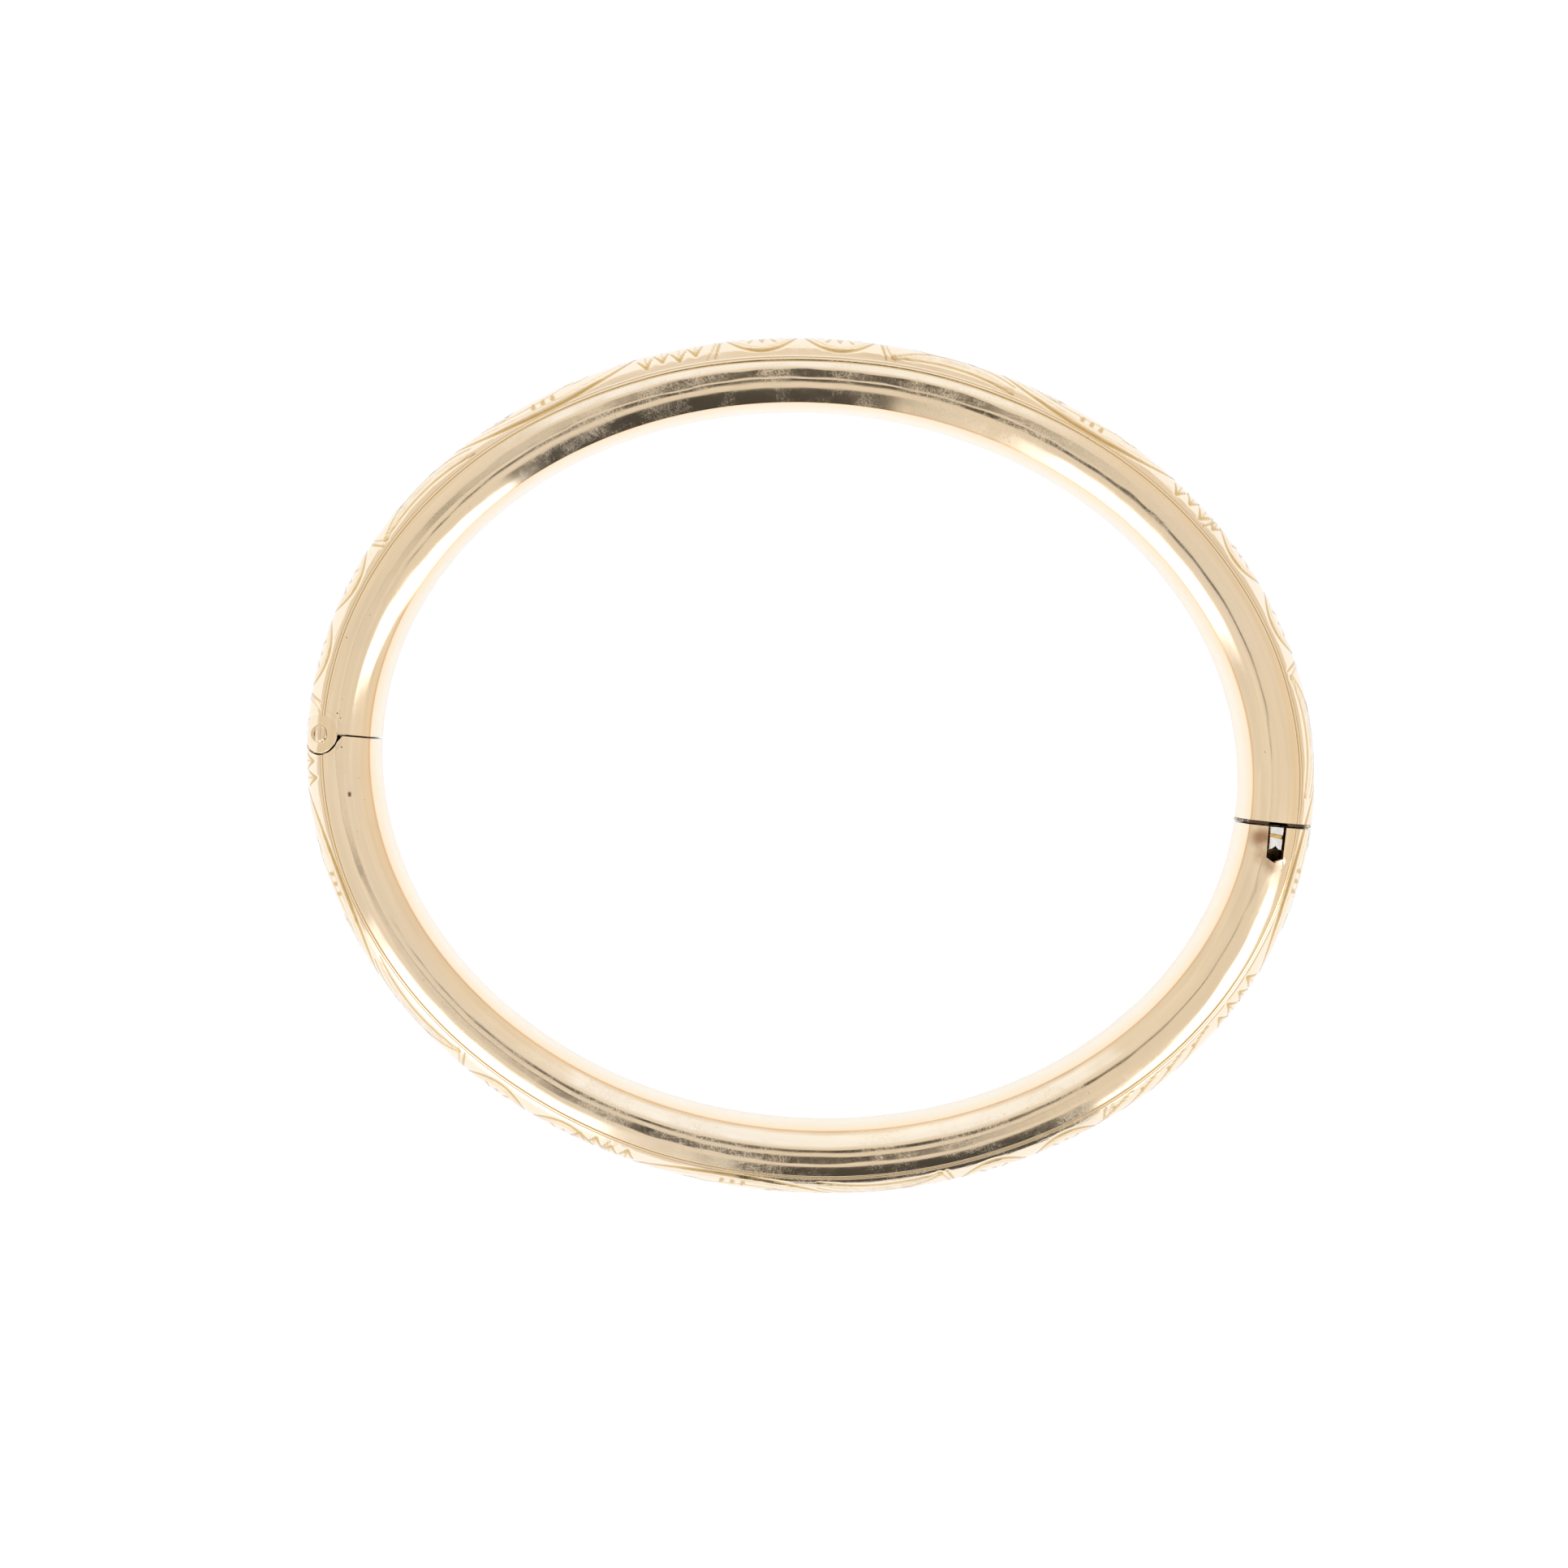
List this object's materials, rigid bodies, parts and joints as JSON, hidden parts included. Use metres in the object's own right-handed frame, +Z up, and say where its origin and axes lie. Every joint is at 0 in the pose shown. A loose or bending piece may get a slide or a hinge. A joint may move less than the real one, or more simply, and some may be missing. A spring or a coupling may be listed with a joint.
{
  "type": "bangle bracelet",
  "caption": "Oval hinged bangle of hollow gold-filled tube, engraved on its outer face, with a riveted hinge and a snap tongue clasp worked by a thumb piece.",
  "frame": {"origin": "centre of the oval, on the plane that the bangle rests on when it lies flat", "axes": "+X from the hinge to the clasp along the oval's long axis, +Y towards the half that carries the snap tongue, +Z up along the wrist opening, through the side with the thumb slot"},
  "size_m": [0.0678, 0.0574, 0.006],
  "materials": {
    "engraved_gold": "polished rolled gold, hand engraved, with fine wear scratches",
    "lining_gold": "smooth rolled gold, softly worn by the wrist",
    "cap_gold": "flat rolled gold, dulled in the joint",
    "hinge_gold": "filed and polished, with dark seams",
    "clasp_brass": "springy brass strip, tarnished inside the catch",
    "thumb_gold": "pale polished gold with rubbed edges"
  },
  "bodies": {
    "catch_half": {"catch_half_outer_shell": "engraved_gold", "catch_half_inner_lining": "lining_gold", "catch_half_hinge_cap": "cap_gold", "catch_half_mouth_plate": "cap_gold", "hinge_knuckle_centre": "hinge_gold", "catch_box": "clasp_brass"},
    "tongue_half": {"tongue_half_outer_shell": "engraved_gold", "tongue_half_inner_lining": "lining_gold", "tongue_half_hinge_cap": "cap_gold", "tongue_half_clasp_cap": "cap_gold", "hinge_knuckle_upper": "hinge_gold", "hinge_knuckle_lower": "hinge_gold", "hinge_pin": "hinge_gold", "snap_tongue_base": "clasp_brass"},
    "snap_spring": {"snap_spring_leaf": "clasp_brass", "snap_thumb_piece": "thumb_gold"}
  },
  "joints": [
    {"name": "bangle_hinge", "type": "hinge", "parent": "catch_half", "child": "tongue_half", "pos_m": [-0.03262, -0.00085, 0.003], "axis": [0, 0, 1], "range_deg": [0, 45]},
    {"name": "snap_press", "type": "hinge", "parent": "tongue_half", "child": "snap_spring", "pos_m": [0.031, -0.00475, 0.00351], "axis": [-1, 0, 0], "range_deg": [0, 6], "stiffness_Nm_per_rad": 0.05, "springref_deg": -2.86}
  ]
}
